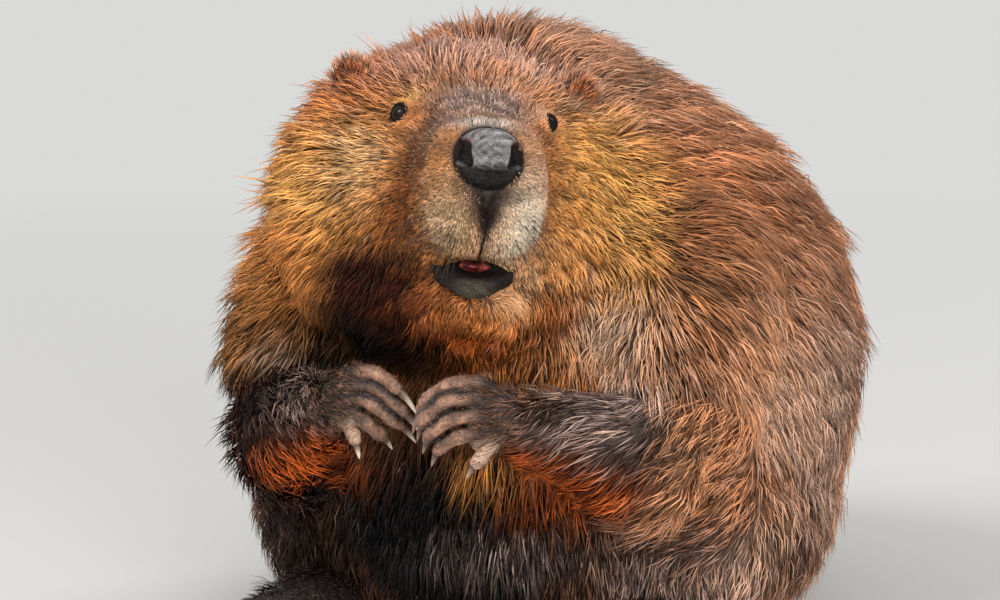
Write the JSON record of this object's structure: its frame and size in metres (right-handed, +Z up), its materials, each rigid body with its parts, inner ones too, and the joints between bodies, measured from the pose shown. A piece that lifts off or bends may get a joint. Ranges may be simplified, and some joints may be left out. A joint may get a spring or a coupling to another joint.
{
  "type": "beaver",
  "caption": "Beaver sitting up on its rump, head turned to its left, forepaws held together at the chest, webbed hind feet forward and flat scaly tail behind.",
  "frame": {"origin": "on the floor, on the flat under the rump, below the middle of the body", "axes": "+Z up; the beaver faces -Y, so its tail lies towards +Y; +X is its own left side"},
  "size_m": [0.3693, 0.6996, 0.366],
  "materials": {
    "fur": "coarse glossy guard hair, chestnut to golden brown",
    "paw_skin": "wrinkled bare skin, satin",
    "tail_skin": "small flat scales, satin",
    "nose_skin": "pebbled damp skin",
    "lip_skin": "smooth damp skin",
    "tongue": "wet",
    "eye": "wet gloss",
    "claw": "horn, satin"
  },
  "bodies": {
    "root": {"trunk": "fur", "neck": "fur", "head": "fur", "lower_jaw": "fur", "ear_left": "fur", "ear_right": "fur", "upper_arm_left": "fur", "upper_arm_right": "fur", "forearm_left": "fur", "forearm_right": "fur", "thigh_left": "fur", "thigh_right": "fur", "forepaw_left": "paw_skin", "forepaw_right": "paw_skin", "hind_foot_left": "paw_skin", "hind_foot_right": "paw_skin", "tail": "tail_skin", "nose": "nose_skin", "lower_lip": "lip_skin", "tongue": "tongue", "eye_left": "eye", "eye_right": "eye", "fore_claw_left_1": "claw", "fore_claw_left_2": "claw", "fore_claw_left_3": "claw", "fore_claw_left_4": "claw", "fore_claw_left_5": "claw", "fore_claw_right_1": "claw", "fore_claw_right_2": "claw", "fore_claw_right_3": "claw", "fore_claw_right_4": "claw", "fore_claw_right_5": "claw", "hind_claw_left_1": "claw", "hind_claw_left_2": "claw", "hind_claw_left_3": "claw", "hind_claw_left_4": "claw", "hind_claw_left_5": "claw", "hind_claw_right_1": "claw", "hind_claw_right_2": "claw", "hind_claw_right_3": "claw", "hind_claw_right_4": "claw", "hind_claw_right_5": "claw"}
  },
  "joints": []
}
